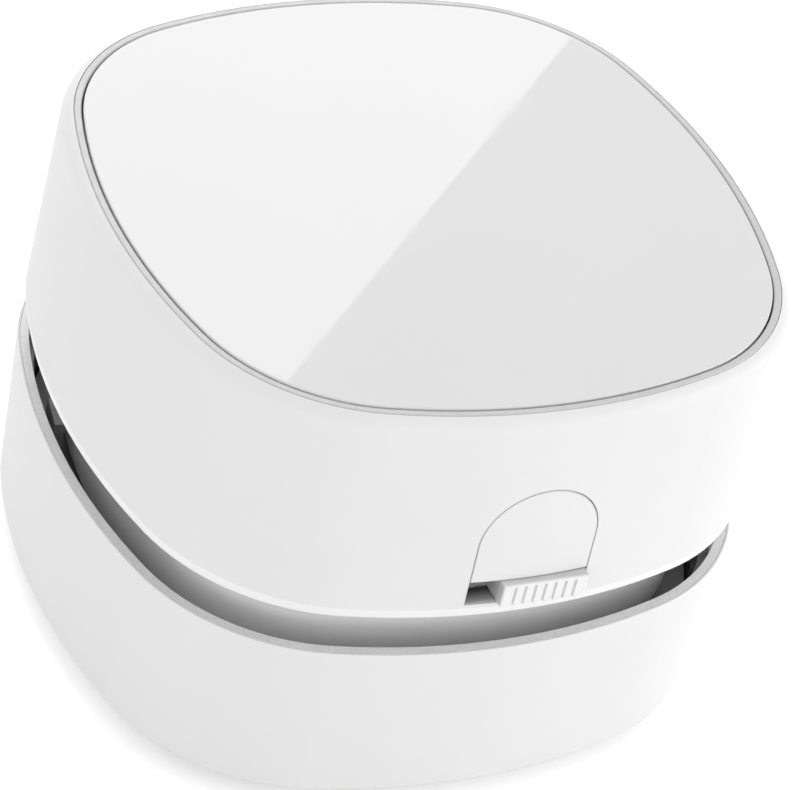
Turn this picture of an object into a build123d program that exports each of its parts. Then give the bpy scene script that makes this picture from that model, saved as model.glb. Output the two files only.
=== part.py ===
"""Desktop mini vacuum cleaner: a dust cup on the desk, a filter unit in it, and a motor head on top.

Millimetres, +Z up, the origin on the desk under the middle. The switch is on the -Y side.
"""

import os
from math import atan2, degrees, sqrt

from build123d import *

# Outline, in plan at the waist
half_width = 42.0  # middle to the middle of a side
side_radius = 77.8  # bow of the sides
corner_radius = 25.8  # round of the corners

# Heights of the outside
cup_z = 3.0  # desk to the lower edge of the cup
cup_height = 22.8
waist_gap = 5.6
head_height = 28.6
cup_lean = 0.75  # how far the cup draws in towards the desk
head_lean = 0.85  # how far the head draws in towards the top

# Clearances
seat_gap = 0.1  # round a piece that is fixed in another
slide_gap = 0.3  # round a piece that moves past another
shaft_gap = 0.04
hairline = 0.12  # round the switch plate
panel_gap = 0.22  # round the lid
overshoot = 1.0  # how far a cut runs past the face that it opens

# Cup shell and rim band
cup_wall = 1.3
cup_edge_radius = 0.8
cup_recess = 1.6  # lower edge of the cup to its floor
cup_floor = 1.4
band_top = 0.6  # height of the band's flange
band_width = 1.4  # outside of the cup to the band's inner face
band_lip = 0.3  # shell's edge left outside the flange
lip_radius = 0.12
band_skirt = 4.0
band_rebate = 0.75  # shell wall left outside the band's skirt

# Dust cup inside the shell
liner_wall = 1.1
liner_floor = 1.2
dust_height = 6.1  # floor of the dust cup to the filter plate on its ribs
shelf_depth = 1.8
shelf_width = 1.4
shelf_offset = 18.0

# Suction inlet, brushes and feet
inlet_length = 36.0
inlet_width = 10.0
inlet_corner = 3.0
duct_wall = 1.1
duct_height = 7.0
mouth_chamfer = 0.7
plate_drop = 1.3  # how far the base plate stands out below the cup
plate_chamfer = 0.6
brush_length = 42.0
brush_width = 3.0
brush_offset = 9.4
brush_depth = 1.8
tuft_count = 15
tuft_radius = 0.6
tuft_root = 1.4
tuft_tip = 0.25  # desk to the ends of the bristles
foot_radius = 4.0
foot_recess = 0.6
foot_offset = 25.5
base_screw_x = 29.0
base_screw_y = 15.0
base_screw_length = 8.0
base_boss_height = 3.6

# Screws
shank_radius = 1.1
screw_head_radius = 2.0
countersink = 90.0  # angle of the heads
recess_width = 0.5
recess_depth = 0.6
boss_radius = 2.3

# Filter unit
filter_plate = 1.6
filter_bar = 1.6
filter_bar_height = 1.0
medium_radius = 21.0
frame_wall = 3.2
frame_grip = 1.8  # how far the frame reaches under the medium
frame_lip = 0.6
frame_height = 1.8
seal_width = 2.4
seal_height = 1.0
seat_wall = 1.3
tab_length = 5.0
tab_thickness = 1.2
tab_height = 6.6
tab_turn = 9.4  # degrees round the bow of the side
tab_hole = 0.8
tab_hole_height = 3.85

# Fan
fan_plate = 1.4
fan_plate_room = 1.2  # fan plate to the skirt round it
fan_eye = 12.0
collar_wall = 2.0
collar_height = 1.2
housing_wall = 1.6
housing_top = 1.6
window_width = 24.0
window_sill = 2.0
window_height = 7.4
ear_radius = 2.0
ear_margin = 2.4  # ears inside the fan plate's rim
ear_height = 6.6
fan_room = 3.4  # fan's rim to the housing
fan_clearance = 1.2
fan_backplate = 1.0
fan_hub = 4.5
hub_edge = 1.0
blade_count = 11
blade_thickness = 0.9
blade_root = 9.0
blade_margin = 0.2  # blades' tips inside the backplate's rim
blade_sweep = 25.0  # degrees from root to tip
blade_bow = 16.0

# Waist frame
skirt_inset = 6.0
skirt_wall = 1.4
skirt_depth = 8.0  # how far the skirt reaches down inside the cup
deck = 1.5
deck_drop = 1.2  # deck's underside above the head's lower edge

# Motor
motor_radius = 12.0
motor_length = 18.4
can_wall = 0.8
can_front = 1.0
motor_boss = 3.1
motor_boss_height = 1.4
bush_radius = 2.2
bush_length = 2.4
shaft_radius = 1.0
shaft_recess = 0.4  # shaft's end inside the fan's hub
magnet_thickness = 2.0
magnet_arc = 130.0
magnet_length = 14.0
air_gap = 0.5
core_stand = 3.0  # can's front to the core
core_length = 10.0
core_hub = 3.0
pole_width = 2.4
pole_tip = 1.5
pole_arc = 96.0
coil_thickness = 1.1
coil_span = 3.2
coil_gap = 0.3
commutator_radius = 2.8
commutator_length = 2.4
end_cap = 2.0
cap_skin = 0.8
cap_edge = 0.6
terminal_place = 7.0
terminal_width = 2.2
terminal_thickness = 0.4
terminal_height = 1.8
brush_thickness = 0.6
brush_half = 0.9
brush_gap = 0.05  # brush to commutator
motor_screw_place = 8.0
motor_screw_length = 5.4
sleeve_thickness = 1.2
sleeve_height = 4.0

# Batteries and their tray
cell_radius = 7.1
cell_body = 49.2
cell_nub = 1.3
cell_nub_radius = 2.75
cell_edge = 0.5
cell_gap = 0.35
cell_lift = 0.8  # tray's floor to the cell
sleeve_room = 0.2
spring_room = 4.9
contact = 0.4
contact_width = 9.0
contact_height = 9.0
spring_wire = 0.4
spring_radius = 4.2
spring_pitch = 1.3
spring_cone = 20.0
spring_gap = 0.05
tray_floor = 1.4
tray_inset = 1.0
tray_wall = 1.2
tray_wall_height = 12.4
tray_stand = 2.3  # deck to the tray's floor
rib_offset = 18.0
rib_height = 5.0
tower_radius = 2.0
tower_inset = 5.8
tower_y = 9.0
tray_screw_head = 1.7
tray_screw_length = 7.0

# Head shell, lid and trim ring
head_wall = 2.0
shoulder_radius = 2.2
head_bevel = 1.4  # height of the bevel along the head's lower edge
head_bevel_inset = 0.3
head_edge_radius = 0.2
ledge_drop = 3.0  # top of the head to the ledge that the lid rests on
ledge = 1.6
bay_inset = 7.4
ring_inset = 2.15
ring_width = 0.95
ring_bevel = 0.15
ring_drop = 0.1
panel = 1.6
panel_edge = 0.2
carrier_inset = 3.6
carrier_skirt = 1.4
carrier_skirt_wall = 1.2
magnet_x = 8.0
magnet_inset = 5.7
magnet_radius = 1.5
magnet_height = 1.0
keeper_height = 0.8

# Switch
lip_height = 1.9  # head's lower edge to the slot
slot_height = 3.4
arch_half = 7.4
arch_side = 10.5  # head's lower edge to where the arch's straight sides end
switch_depth = 3.1  # outside of the head to the inner face of the switch plate
plate_flange = 0.5
flange_margin = 1.1
shelf_half = 8.8
shelf_root = 1.5
shelf_rise = 0.9
knob_length = 10.8
knob_proud = 0.95
knob_gap = 0.15
knob_end_gap = 0.2  # more room at the far end of the slot
knob_edge = 0.2
knob_flange = 0.6
flange_cover = 0.8
flange_lap = 0.4  # knob's flange below the slot
flange_rise = 0.6  # knob's flange above the slot
notch_room = 0.8
groove_count = 7
groove_pitch = 1.28
groove_margin = 1.45
groove_width = 0.4
groove_depth = 0.3
groove_land = 0.25
body_length = 12.0
body_depth = 3.0
body_height = 3.2
stem_width = 2.0
stem_height = 1.6
stem_depth = 1.4
board_width = 16.0
board_height = 9.5
board = 1.0

# Lead wires
wire_radius = 0.55
wire_bend = 2.2
wire_end = 0.5  # past the terminal
right_run = 9.0  # straight lead over the end cap
left_run = 14.0
tab_margin = 1.0
left_pad = -6.0  # solder pads on the switch board
right_pad = -1.0
pad_drop = 3.0
crest_drop = 0.5
pad_rise = 5.0
pad_lead = 3.0

# Worked out from the values above: outline and levels
bow_setback = side_radius - half_width
corner_pitch = (sqrt(2 * (side_radius - corner_radius) ** 2 - bow_setback**2) - bow_setback) / 2
side_sweep = degrees(atan2(corner_pitch, corner_pitch + bow_setback))
rim_z = cup_z + cup_height
head_z = rim_z + waist_gap
top_z = head_z + head_height
shell_reach = half_width + 10.0

# Worked out: cup and dust cup
cup_floor_z = cup_z + cup_recess
plate_z = cup_z - plate_drop
liner_inset = cup_wall + seat_gap
liner_inner = liner_inset + liner_wall
liner_z = cup_floor_z + cup_floor + seat_gap
liner_top = rim_z - band_top - band_skirt - seat_gap
shelf_z = liner_z + liner_floor + dust_height
duct_hole = 2 * (duct_wall + seat_gap)
tuft_pitch = (brush_length - 2 * brush_width) / (tuft_count - 1)

# Worked out: filter unit
frame_outer = medium_radius + seat_gap + frame_wall
frame_inner = medium_radius - frame_grip
filter_hole = frame_inner - 2 * seat_gap
seal_outer = frame_outer - slide_gap
seat_height = frame_height + seal_height + collar_height - 2 * slide_gap
seat_z = shelf_z + filter_plate
seal_z = seat_z + frame_height
collar_z = seal_z + seal_height
collar_outer = frame_outer + seat_gap - 2 * slide_gap
fan_plate_z = collar_z + collar_height
fan_floor = fan_plate_z + fan_plate

# Worked out: waist frame, fan and motor
deck_z = head_z + deck_drop
deck_top = deck_z + deck
skirt_half = half_width - skirt_inset
skirt_z = rim_z - skirt_depth
skirt_corner = sqrt(2) * corner_pitch + corner_radius - skirt_inset - skirt_wall
fan_plate_radius = skirt_half - skirt_wall - fan_plate_room
ear_place = fan_plate_radius - ear_margin
housing_radius = ear_place - ear_radius / 2
housing_z = deck_z - housing_top
fan_radius = housing_radius - housing_wall - fan_room
fan_z = fan_floor + fan_clearance
fan_back_z = housing_z - fan_clearance - fan_backplate
deck_screw_place = (housing_radius + skirt_corner) / sqrt(8)
shaft_tip = fan_z + shaft_recess
motor_top = deck_top + motor_length
can_inner = motor_radius - can_wall
core_radius = can_inner - magnet_thickness - air_gap
core_z = deck_top + can_front + core_stand
magnet_z = core_z - (magnet_length - core_length) / 2
commutator_z = core_z + core_length + coil_thickness + seat_gap
sleeve_inner = motor_radius + seat_gap / 2
sleeve_outer = sleeve_inner + sleeve_thickness

# Worked out: batteries, tray and lid
tray_z = deck_top + tray_stand
tray_wall_z = tray_z + tray_floor + tray_wall_height
cell_place = sleeve_outer + sleeve_room + cell_gap + cell_radius
cell_half = cell_radius + cell_gap
cell_z = tray_z + tray_floor + cell_lift + cell_radius
bay_half = (cell_body + cell_nub + spring_room) / 2 + contact
cell_back = contact + spring_room - bay_half
contact_z = cell_z - contact_height / 2
bridge_x = cell_place + contact_width / 2
bridge_reach = cell_place - cell_half + seat_gap
tower_x = half_width - tower_inset
magnet_y = half_width - magnet_inset
ledge_z = top_z - ledge_drop
panel_z = top_z - panel
panel_half = half_width - ring_inset - ring_width - panel_gap

# Worked out: switch
slot_bottom = head_z + lip_height
slot_top = slot_bottom + slot_height
arch_spring = head_z + arch_side
switch_back = switch_depth - half_width
knob_front = -half_width - knob_proud
knob_right = arch_half - knob_gap
knob_left = knob_right - knob_length
knob_travel = 2 * knob_right - knob_length - knob_end_gap
knob_z = (slot_bottom + knob_gap, slot_top - knob_gap)
flange_half = arch_half + flange_cover
flange_front = switch_back + slide_gap
flange_back = flange_front + knob_flange
notch_half = flange_half + knob_travel + notch_room
body_front = flange_back + slide_gap
board_front = body_front + body_depth
board_back = board_front + board
body_x = (knob_left + knob_right - knob_travel) / 2
stem_x = (knob_left + knob_right) / 2
stem_z = deck_top + (body_height - stem_height) / 2


def cup_half(z):
    """Half width of the cup's outside at height z."""
    return half_width - cup_lean * (rim_z - z) / cup_height


def head_half(z):
    """Half width of the head's outside at height z."""
    return half_width - head_lean * (z - head_z) / head_height


def side_reach(half, across):
    """Distance from the middle to the side of an outline, `across` from the side's middle."""
    return sqrt((bow_setback + half) ** 2 - across**2) - bow_setback


class Squircle(BaseSketchObject):
    """A square with bowed sides and round corners; `half` is from the middle to a side."""

    def __init__(self, half, mode=Mode.ADD):
        inset = half_width - half
        with BuildSketch() as outline:
            with BuildLine():
                for turn in range(0, 360, 90):
                    side_middle = Vector(-bow_setback, 0).rotate(Axis.Z, turn)
                    corner_middle = Vector(corner_pitch, corner_pitch).rotate(Axis.Z, turn)
                    CenterArc(side_middle, side_radius - inset, turn - side_sweep, 2 * side_sweep)
                    CenterArc(corner_middle, corner_radius - inset, turn + side_sweep, 90 - 2 * side_sweep)
            make_face()
        super().__init__(obj=outline.sketch, align=None, mode=mode)


class LeaningBlock(BasePartObject):
    """A block of the plan outline that leans as `half_at` says, `inset` inside that face."""

    def __init__(self, bottom, top, half_at, inset=0.0, mode=Mode.ADD):
        with BuildPart() as block:
            for z in (bottom, top):
                with BuildSketch(Plane.XY.offset(z)):
                    Squircle(half_at(z) - inset)
            loft(ruled=True)
        super().__init__(part=block.part, align=None, mode=mode)


class Tube(BasePartObject):
    """A round tube or disc standing on the height `bottom`."""

    def __init__(self, bottom, top, outer, inner=0.0, mode=Mode.ADD):
        with BuildPart() as tube:
            with BuildSketch(Plane.XY.offset(bottom)):
                Circle(outer)
                if inner:
                    Circle(inner, mode=Mode.SUBTRACT)
            extrude(amount=top - bottom)
        super().__init__(part=tube.part, align=None, mode=mode)


class Block(BasePartObject):
    """A box between two values on each axis."""

    def __init__(self, x, y, z, mode=Mode.ADD):
        with BuildPart() as block:
            with BuildSketch(Plane.XY.offset(z[0])):
                with Locations(((x[0] + x[1]) / 2, (y[0] + y[1]) / 2)):
                    Rectangle(x[1] - x[0], y[1] - y[0])
            extrude(amount=z[1] - z[0])
        super().__init__(part=block.part, align=None, mode=mode)


class Screw(BasePartObject):
    """A countersunk screw, its head's flat face at the origin and its shank along -Z."""

    def __init__(self, length, head=screw_head_radius, rotation=(0, 0, 0), mode=Mode.ADD):
        with BuildPart() as screw:
            with BuildSketch(Plane.XZ):
                with BuildLine():
                    Polyline(
                        (0, 0),
                        (head, 0),
                        (shank_radius, shank_radius - head),
                        (shank_radius, shank_radius - length),
                        (0, -length),
                        close=True,
                    )
                make_face()
            revolve(axis=Axis.Z)
            for turn in (0, 90):
                with Locations(Location((0, 0, 0), (0, 0, turn))):
                    Box(2 * shank_radius, recess_width, 2 * recess_depth, mode=Mode.SUBTRACT)
        super().__init__(part=screw.part, rotation=rotation, align=None, mode=mode)


def cut_screw_hole(head):
    """Cuts the clearance hole and countersink of a screw with this head radius."""
    CounterSinkHole(shank_radius + seat_gap, head + seat_gap, counter_sink_angle=countersink)


class Arch(BaseSketchObject):
    """The switch plate's outline on the XZ plane: straight sides and a half-round top."""

    def __init__(self, bottom, margin=0.0, mode=Mode.ADD):
        half = arch_half + margin
        with BuildSketch() as arch:
            with Locations((0, arch_spring)):
                Circle(half)
            with Locations((0, (bottom + arch_spring) / 2)):
                Rectangle(2 * half, arch_spring - bottom)
            with Locations((0, bottom - half)):
                Rectangle(4 * half, 2 * half, mode=Mode.SUBTRACT)
        super().__init__(obj=arch.sketch, align=None, mode=mode)


def base_screws_at():
    return GridLocations(2 * base_screw_x, 2 * base_screw_y, 2, 2)


def feet_at():
    return GridLocations(2 * foot_offset, 2 * foot_offset, 2, 2)


def brushes_at():
    return GridLocations(1, 2 * brush_offset, 1, 2)


def tufts_at():
    return GridLocations(tuft_pitch, 2 * brush_offset, tuft_count, 2)


def ears_at():
    return PolarLocations(ear_place, 4, start_angle=45)


def motor_screws_at():
    return GridLocations(2 * motor_screw_place, 1, 2, 1)


def deck_screws_at():
    return GridLocations(2 * deck_screw_place, 2 * deck_screw_place, 2, 2)


def towers_at():
    return GridLocations(2 * tower_x, 2 * tower_y, 2, 2)


def magnets_at():
    return GridLocations(2 * magnet_x, 2 * magnet_y, 2, 2)


def keep(builder, name):
    """Labels a finished piece and writes it."""
    builder.part.label = name
    export_step(builder.part, f"parts/{name}.step")


os.makedirs("parts", exist_ok=True)


# ---- Dust cup, which stands on the desk ----

with BuildPart() as cup_shell:
    LeaningBlock(cup_z, rim_z, cup_half)
    fillet(cup_shell.edges().group_by(Axis.Z)[0], cup_edge_radius)
    fillet(cup_shell.edges().group_by(Axis.Z)[-1], lip_radius)
    LeaningBlock(cup_floor_z + cup_floor, rim_z, cup_half, cup_wall, mode=Mode.SUBTRACT)
    LeaningBlock(liner_top, rim_z, cup_half, band_rebate, mode=Mode.SUBTRACT)
    LeaningBlock(rim_z - band_top, rim_z, cup_half, band_lip, mode=Mode.SUBTRACT)
    LeaningBlock(cup_z - overshoot, cup_floor_z, cup_half, cup_wall, mode=Mode.SUBTRACT)
    with BuildSketch(Plane.XY.offset(cup_floor_z)):
        RectangleRounded(inlet_length + duct_hole, inlet_width + duct_hole, inlet_corner)
        with base_screws_at():
            Circle(shank_radius + seat_gap)
    extrude(amount=cup_floor, mode=Mode.SUBTRACT)
keep(cup_shell, "cup_shell")

with BuildPart() as rim_band:
    LeaningBlock(rim_z - band_top, rim_z, cup_half, band_lip + seat_gap / 2)
    LeaningBlock(liner_top + seat_gap, rim_z - band_top, cup_half, band_rebate + seat_gap)
    LeaningBlock(liner_top, rim_z + overshoot, cup_half, band_width, mode=Mode.SUBTRACT)
keep(rim_band, "rim_band")

with BuildPart() as dust_cup:
    LeaningBlock(liner_z, liner_top, cup_half, liner_inset)
    LeaningBlock(liner_z + liner_floor, rim_z, cup_half, liner_inner, mode=Mode.SUBTRACT)
    shelf_x = side_reach(cup_half(shelf_z) - liner_inner, shelf_offset)
    shelf_x += (liner_wall / 2 - shelf_depth) / 2
    with BuildSketch(Plane.XY.offset(liner_z)):
        with PolarLocations(0, 4):
            with Locations((shelf_x, shelf_offset), (shelf_x, -shelf_offset)):
                Rectangle(shelf_depth + liner_wall / 2, shelf_width)
    extrude(amount=shelf_z - liner_z)
    with BuildSketch(Plane.XY.offset(liner_z)):
        with base_screws_at():
            Circle(boss_radius)
    extrude(amount=liner_floor + base_boss_height)
    with BuildSketch(Plane.XY.offset(liner_z)):
        RectangleRounded(inlet_length + duct_hole, inlet_width + duct_hole, inlet_corner)
        with base_screws_at():
            Circle(shank_radius + seat_gap)
    extrude(amount=liner_floor + base_boss_height, mode=Mode.SUBTRACT)
keep(dust_cup, "dust_cup")

with BuildPart() as base_plate:
    with BuildSketch(Plane.XY.offset(plate_z)):
        Squircle(cup_half(cup_z) - cup_wall - seat_gap)
    extrude(amount=cup_floor_z - plate_z)
    chamfer(base_plate.edges().group_by(Axis.Z)[0], plate_chamfer)
    with BuildSketch(Plane.XY.offset(plate_z)):
        RectangleRounded(inlet_length, inlet_width, inlet_corner)
    extrude(amount=cup_floor_z - plate_z, mode=Mode.SUBTRACT)
    inlet_faces = base_plate.faces().filter_by(Axis.Z).sort_by(Axis.Z)[0].inner_wires()
    chamfer(inlet_faces[0].edges(), mouth_chamfer)
    with BuildSketch(Plane.XY.offset(plate_z)):
        with brushes_at():
            RectangleRounded(brush_length + 2 * seat_gap, brush_width + 2 * seat_gap, brush_width / 2)
    extrude(amount=brush_depth, mode=Mode.SUBTRACT)
    with BuildSketch(Plane.XY.offset(plate_z)):
        with feet_at():
            Circle(foot_radius + seat_gap)
    extrude(amount=foot_recess, mode=Mode.SUBTRACT)
    with Locations(Location((0, 0, plate_z), (180, 0, 0))):
        with base_screws_at():
            cut_screw_hole(screw_head_radius)
keep(base_plate, "base_plate")

with BuildPart() as inlet_duct:
    with BuildSketch(Plane.XY.offset(cup_floor_z)):
        RectangleRounded(inlet_length + 2 * duct_wall, inlet_width + 2 * duct_wall, inlet_corner)
        RectangleRounded(inlet_length, inlet_width, inlet_corner - duct_wall, mode=Mode.SUBTRACT)
    extrude(amount=duct_height)
keep(inlet_duct, "inlet_duct")

with BuildPart() as brush_holders:
    with BuildSketch(Plane.XY.offset(plate_z + seat_gap)):
        with brushes_at():
            RectangleRounded(brush_length, brush_width, brush_width / 2 - seat_gap)
    extrude(amount=brush_depth - seat_gap)
    with BuildSketch(Plane.XY.offset(plate_z + seat_gap)):
        with tufts_at():
            Circle(tuft_radius + seat_gap / 2)
    extrude(amount=tuft_root, mode=Mode.SUBTRACT)
keep(brush_holders, "brush_holders")

with BuildPart() as bristles:
    with BuildSketch(Plane.XY.offset(tuft_tip)):
        with tufts_at():
            Circle(tuft_radius)
    extrude(amount=plate_z + tuft_root - tuft_tip)
keep(bristles, "bristles")

with BuildPart() as foot_pads:
    with BuildSketch():
        with feet_at():
            Circle(foot_radius)
    extrude(amount=plate_z + foot_recess)
    fillet(foot_pads.edges().group_by(Axis.Z)[0], plate_chamfer)
keep(foot_pads, "foot_pads")

with BuildPart() as base_screws:
    with Locations((0, 0, plate_z + seat_gap)):
        with base_screws_at():
            Screw(base_screw_length, rotation=(180, 0, 0))
keep(base_screws, "base_screws")


# ---- Filter unit, which rests on the cup's ribs ----

filter_plate_half = cup_half(shelf_z) - liner_inner - slide_gap
with BuildPart() as filter_carrier:
    with BuildSketch(Plane.XY.offset(shelf_z)):
        Squircle(filter_plate_half)
        Circle(filter_hole, mode=Mode.SUBTRACT)
    extrude(amount=filter_plate)
    with BuildSketch(Plane.XY.offset(shelf_z)):
        Rectangle(2 * filter_hole + filter_bar, filter_bar)
        Rectangle(filter_bar, 2 * filter_hole + filter_bar)
    extrude(amount=filter_bar_height)
    Tube(seat_z, seat_z + seat_height, frame_outer + seat_gap + seat_wall, frame_outer + seat_gap)
    tab_reach = bow_setback + (skirt_half + cup_half(seat_z) - liner_inner) / 2
    for turn in (0, 180):
        side_middle = Vector(-bow_setback, 0, seat_z).rotate(Axis.Z, turn)
        with Locations(Location(side_middle, (0, 0, turn - tab_turn))):
            with Locations((tab_reach, 0, tab_height / 2)):
                Box(tab_thickness, tab_length, tab_height)
            with Locations((tab_reach, 0, tab_hole_height)):
                Cylinder(tab_hole, 2 * tab_thickness, rotation=(0, 90, 0), mode=Mode.SUBTRACT)
keep(filter_carrier, "filter_plate")

with BuildPart() as filter_frame:
    Tube(seat_z, seal_z, frame_outer, frame_inner)
    Tube(seat_z + frame_lip, seal_z, medium_radius + seat_gap, mode=Mode.SUBTRACT)
keep(filter_frame, "filter_frame")

with BuildPart() as filter_medium:
    Tube(seat_z + frame_lip, seal_z, medium_radius)
keep(filter_medium, "filter_medium")

with BuildPart() as filter_seal:
    Tube(seal_z, collar_z, seal_outer, seal_outer - seal_width)
keep(filter_seal, "filter_seal")


# ---- Head: frame and fan housing ----

with BuildPart() as waist_frame:
    with BuildSketch(Plane.XY.offset(deck_z)):
        Squircle(head_half(deck_z) - head_wall - 2 * seat_gap)
    extrude(amount=deck)
    with BuildSketch(Plane.XY.offset(skirt_z)):
        Squircle(skirt_half)
        Squircle(skirt_half - skirt_wall, mode=Mode.SUBTRACT)
    extrude(amount=deck_z - skirt_z)
    Block(
        (-notch_half, notch_half),
        (-shell_reach, flange_back + seat_gap),
        (deck_z, deck_top),
        mode=Mode.SUBTRACT,
    )
    with BuildSketch(Plane.XY.offset(deck_z)):
        Circle(motor_boss + seat_gap)
        with motor_screws_at():
            Circle(shank_radius + seat_gap)
    extrude(amount=deck, mode=Mode.SUBTRACT)
    with Locations(Location((0, 0, deck_z), (180, 0, 0))):
        with deck_screws_at():
            cut_screw_hole(screw_head_radius)
keep(waist_frame, "waist_frame")

with BuildPart() as fan_housing:
    Tube(fan_floor, deck_z, housing_radius)
    Tube(fan_floor, housing_z, housing_radius - housing_wall, mode=Mode.SUBTRACT)
    with BuildSketch(Plane.XY.offset(fan_floor)):
        with ears_at():
            Circle(ear_radius)
        Circle(housing_radius - housing_wall, mode=Mode.SUBTRACT)
    extrude(amount=ear_height)
    with Locations((0, 0, fan_floor + window_sill + window_height / 2)):
        with PolarLocations(housing_radius, 4):
            Box(housing_radius, window_width, window_height, mode=Mode.SUBTRACT)
    with BuildSketch(Plane.XY.offset(fan_floor)):
        with ears_at():
            Circle(shank_radius + seat_gap)
    extrude(amount=ear_height, mode=Mode.SUBTRACT)
    Tube(housing_z, deck_z, motor_boss + seat_gap, mode=Mode.SUBTRACT)
    with Locations(Location((0, 0, housing_z), (180, 0, 0))):
        with motor_screws_at():
            cut_screw_hole(screw_head_radius)
keep(fan_housing, "fan_housing")

with BuildPart() as fan_inlet:
    Tube(fan_plate_z, fan_floor, fan_plate_radius, fan_eye)
    fillet(fan_inlet.edges().filter_by(GeomType.CIRCLE).sort_by(SortBy.RADIUS)[0:2], 0.45 * fan_plate)
    Tube(collar_z, fan_plate_z, collar_outer, collar_outer - collar_wall)
    with Locations(Location((0, 0, fan_plate_z), (180, 0, 0))):
        with ears_at():
            cut_screw_hole(screw_head_radius)
keep(fan_inlet, "fan_inlet_plate")

with BuildPart() as inlet_screws:
    with Locations((0, 0, fan_plate_z)):
        with ears_at():
            Screw(ear_height, rotation=(180, 0, 0))
keep(inlet_screws, "inlet_screws")

with BuildPart() as motor_screws:
    with Locations((0, 0, housing_z)):
        with motor_screws_at():
            Screw(motor_screw_length, rotation=(180, 0, 0))
keep(motor_screws, "motor_screws")

with BuildPart() as deck_screws:
    with Locations((0, 0, deck_z)):
        with deck_screws_at():
            Screw(deck + tray_stand + tray_floor - seat_gap, rotation=(180, 0, 0))
keep(deck_screws, "deck_screws")


# ---- Rotor: shaft, fan, armature ----

with BuildPart() as motor_shaft:
    Tube(shaft_tip, motor_top + end_cap - cap_skin - seat_gap, shaft_radius)
keep(motor_shaft, "motor_shaft")

with BuildPart() as fan_rotor:
    Tube(fan_back_z, fan_back_z + fan_backplate, fan_radius)
    Tube(fan_z, fan_back_z, fan_hub)
    fillet(fan_rotor.edges().group_by(Axis.Z)[0], hub_edge)
    with BuildSketch(Plane.XY.offset(fan_z)):
        with BuildLine():
            blade_tip = Vector(fan_radius - blade_margin, 0).rotate(Axis.Z, blade_sweep)
            blade_line = RadiusArc((blade_root, 0), blade_tip, blade_bow)
        with PolarLocations(0, blade_count):
            trace(blade_line, blade_thickness)
    extrude(amount=fan_back_z - fan_z)
    Tube(fan_z, top_z, shaft_radius, mode=Mode.SUBTRACT)
keep(fan_rotor, "fan_rotor")

with BuildPart() as armature:
    Tube(core_z, core_z + core_length, core_hub)
    with BuildSketch(Plane.XY.offset(core_z)):
        with PolarLocations(0, 3):
            with Locations((core_radius / 2, 0)):
                Rectangle(core_radius - pole_tip, pole_width)
        for turn in range(3):
            with BuildLine():
                start = turn * 120 - pole_arc / 2
                rim = CenterArc((0, 0), core_radius, start, pole_arc)
                heel = CenterArc((0, 0), core_radius - pole_tip, start, pole_arc)
                Line(rim @ 0, heel @ 0)
                Line(rim @ 1, heel @ 1)
            make_face()
    extrude(amount=core_length)
    Tube(core_z, core_z + core_length, shaft_radius, mode=Mode.SUBTRACT)
keep(armature, "armature")

with BuildPart() as coils:
    with Locations((0, 0, core_z + core_length / 2)):
        with PolarLocations(core_hub + coil_gap + coil_span / 2, 3):
            Box(coil_span, pole_width + 2 * coil_thickness, core_length + 2 * coil_thickness)
            Box(2 * coil_span, pole_width + seat_gap, core_length + seat_gap, mode=Mode.SUBTRACT)
keep(coils, "armature_coils")

with BuildPart() as commutator:
    Tube(commutator_z, commutator_z + commutator_length, commutator_radius, shaft_radius)
keep(commutator, "commutator")


# ---- Motor ----

with BuildPart() as motor_can:
    Tube(deck_top, motor_top, motor_radius)
    fillet(motor_can.edges().group_by(Axis.Z)[0], can_wall)
    Tube(deck_top - motor_boss_height, deck_top, motor_boss)
    Tube(deck_top + can_front, motor_top, can_inner, mode=Mode.SUBTRACT)
    Tube(deck_top - motor_boss_height, motor_top, bush_radius, mode=Mode.SUBTRACT)
    with BuildSketch(Plane.XY.offset(deck_top)):
        with motor_screws_at():
            Circle(shank_radius)
    extrude(amount=can_front, mode=Mode.SUBTRACT)
keep(motor_can, "motor_can")

with BuildPart() as motor_magnets:
    with BuildSketch(Plane.XY.offset(magnet_z)):
        for middle in (90, 270):
            with BuildLine():
                start = middle - magnet_arc / 2
                back = CenterArc((0, 0), can_inner, start, magnet_arc)
                face = CenterArc((0, 0), can_inner - magnet_thickness, start, magnet_arc)
                Line(back @ 0, face @ 0)
                Line(back @ 1, face @ 1)
            make_face()
    extrude(amount=magnet_length)
keep(motor_magnets, "motor_magnets")

with BuildPart() as motor_bushes:
    Tube(deck_top - motor_boss_height, deck_top - motor_boss_height + bush_length, bush_radius)
    Tube(motor_top, motor_top + end_cap - cap_skin, bush_radius)
    Tube(shaft_tip, top_z, shaft_radius + shaft_gap, mode=Mode.SUBTRACT)
keep(motor_bushes, "motor_bushes")

with BuildPart() as motor_cap:
    Tube(motor_top, motor_top + end_cap, motor_radius)
    fillet(motor_cap.edges().group_by(Axis.Z)[-1], cap_edge)
    Tube(motor_top, motor_top + end_cap - cap_skin, bush_radius, mode=Mode.SUBTRACT)
    with BuildSketch(Plane.XY.offset(motor_top)):
        with GridLocations(2 * terminal_place, 1, 2, 1):
            Rectangle(terminal_thickness + seat_gap, terminal_width + seat_gap)
    extrude(amount=end_cap, mode=Mode.SUBTRACT)
keep(motor_cap, "motor_end_cap")

with BuildPart() as terminals:
    with BuildSketch(Plane.XY.offset(motor_top)):
        with GridLocations(2 * terminal_place, 1, 2, 1):
            Rectangle(terminal_thickness, terminal_width)
    extrude(amount=end_cap + terminal_height)
keep(terminals, "motor_terminals")

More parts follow.
